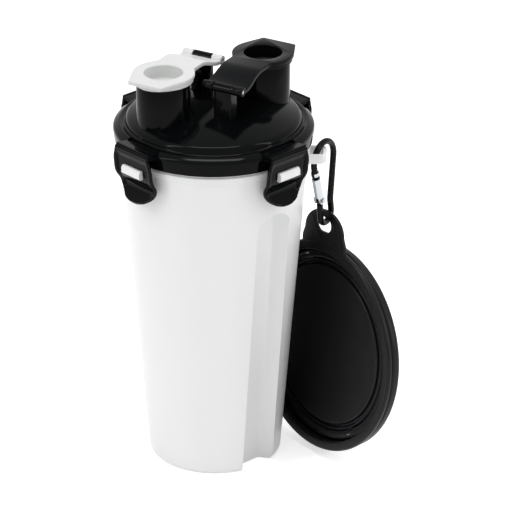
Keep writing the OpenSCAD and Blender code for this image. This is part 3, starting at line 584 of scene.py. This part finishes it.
# ------------------------------------------------------------ seals, pins and spring
# The lid's gasket and the caps' seal rings are moulded from soft grey silicone and sit
# in their grooves. The caps' pins and the gate's rivet are drawn steel, pressed in, and
# the gate's spring is steel wire. All of them are shown as their CAD nodes.

# dull and slightly grained
seal = surface("seal_silicone", "#D2D3D2", 0.45, grain=0.1)
for name in ("lid_gasket", "water_cap_seal", "food_cap_seal"):
    paint(nodes[name], seal)
# bright, with an even sheen
steel = surface("drawn_steel", "#B9BCC0", 0.25, Metallic=1.0)
for name in ("water_cap_pin", "food_cap_pin", "carabiner_rivet", "carabiner_spring"):
    paint(nodes[name], steel)

# ------------------------------------------------------------ carabiner
# A bent rod of aluminium, anodised black, with a nose that the gate closes on. The gate
# is plain aluminium, turns on a rivet and is held shut by its spring. The rod hangs in
# the bottle's lug. Both are shown as their CAD nodes.

# anodised: a black skin that still shines like metal under a lamp
black_rod = surface("black_anodised_aluminium", "#08090A", 0.22, Specular_IOR_Level=0.1)
paint(nodes["carabiner_frame"], black_rod)
# tumbled: pale metal with a soft reflection
gate_metal = surface("satin_aluminium", "#C2C5C9", 0.3, Metallic=1.0)
paint(nodes["carabiner_gate"], gate_metal)

# ------------------------------------------------------------ floor
# A plain pale floor that keeps the shadow. It glows a little for the camera and for
# reflections, so that both see it near white, and lights nothing itself.
floor_glow = 0.5


def ray_level(holder, hidden, seen):
    """One strength for what camera and glossy rays see, and another for all other rays."""
    path = add_node(holder, "ShaderNodeLightPath")
    either = add_node(holder, "ShaderNodeMath", [("operation", "MAXIMUM")],
                      [(0, path.outputs["Is Camera Ray"]), (1, path.outputs["Is Glossy Ray"])])
    level = add_node(holder, "ShaderNodeMapRange", [("To Min", hidden), ("To Max", seen)],
                     [("Value", either.outputs[0])])
    return level.outputs["Result"]


bpy.ops.object.select_all(action="DESELECT")
bpy.ops.mesh.primitive_plane_add(size=12, location=(0, 0, 0))
floor = bpy.context.object
floor.name = "floor"
pale_floor = bpy.data.materials.new("pale_floor")
pale_floor.use_nodes = True
shader = pale_floor.node_tree.nodes["Principled BSDF"]
shader.inputs["Base Color"].default_value = linear("#F4F4F4")
shader.inputs["Roughness"].default_value = 0.9
shader.inputs["Specular IOR Level"].default_value = 0.0
shader.inputs["Emission Color"].default_value = (1, 1, 1, 1)
glow = ray_level(pale_floor, 0.0, floor_glow)
pale_floor.node_tree.links.new(glow, shader.inputs["Emission Strength"])
paint(floor, pale_floor)

# ------------------------------------------------------------ light
# A white surround for the camera and for reflections that lights the object a little
# less, and three soft boxes to the left, to the right and above.
view_azimuth = 47  # of the camera, from the front (-Y) towards +X
surround_light, surround_seen = 0.67, 1.0

world = bpy.data.worlds.new("studio")
bpy.context.scene.world = world
world.use_nodes = True
surround = world.node_tree.nodes["Background"]
surround.inputs["Color"].default_value = (1, 1, 1, 1)
strength = ray_level(world, surround_light, surround_seen)
world.node_tree.links.new(strength, surround.inputs["Strength"])


def soft_box(name, azimuth, elevation, distance, width, height, power):
    """A lamp aimed at the bottle, its azimuth counted from the camera; sizes in metres and watts."""
    lamp = bpy.data.lights.new(name, "AREA")
    lamp.shape = "RECTANGLE"
    lamp.size, lamp.size_y, lamp.energy = width, height, power
    obj = bpy.data.objects.new(name, lamp)
    bpy.context.scene.collection.objects.link(obj)
    around, above = math.radians(view_azimuth + azimuth), math.radians(elevation)
    flat = math.cos(above)
    away = Vector((math.sin(around) * flat, -math.cos(around) * flat, math.sin(above)))
    middle = Vector((0, 0, 0.12))
    obj.location = middle + distance * away
    obj.rotation_euler = away.to_track_quat("Z", "Y").to_euler()


soft_box("lamp_left", -60, 40, 1.6, 0.14, 1.2, 5.5)
soft_box("lamp_right", 75, 30, 1.6, 0.12, 1.4, 5)
soft_box("lamp_top", 0, 85, 1.5, 0.9, 0.25, 8)

# ------------------------------------------------------------ camera
# A long lens that looks down on the bottle from the right of its front. Its aim is a
# little off the bottle's axis, so that the carabiner and the bowl come into the frame.
view_elevation = 25.4
distance = 2.2
aim_height, aim_right, aim_up = 0.1, 0.02196, 0.011
focal_px, frame_px = 4158, 512  # focal length and width of the frame, in pixels

right = Vector((math.cos(math.radians(view_azimuth)), math.sin(math.radians(view_azimuth)), 0))
tilt = math.radians(view_elevation)
forward = Vector((-right.y * math.cos(tilt), right.x * math.cos(tilt), -math.sin(tilt)))
up = right.cross(forward)
camera_data = bpy.data.cameras.new("camera")
camera = bpy.data.objects.new("camera", camera_data)
bpy.context.scene.collection.objects.link(camera)
camera_data.sensor_width = 36
camera_data.lens = focal_px / frame_px * camera_data.sensor_width
camera_data.clip_start = 0.05
camera_data.clip_end = 50
place = Vector((0, 0, aim_height)) + aim_right * right + aim_up * up - distance * forward
camera.matrix_world = Matrix.Translation(place) @ Matrix((right, up, -forward)).transposed().to_4x4()
bpy.context.scene.camera = camera
bpy.context.scene.view_settings.view_transform = "Standard"
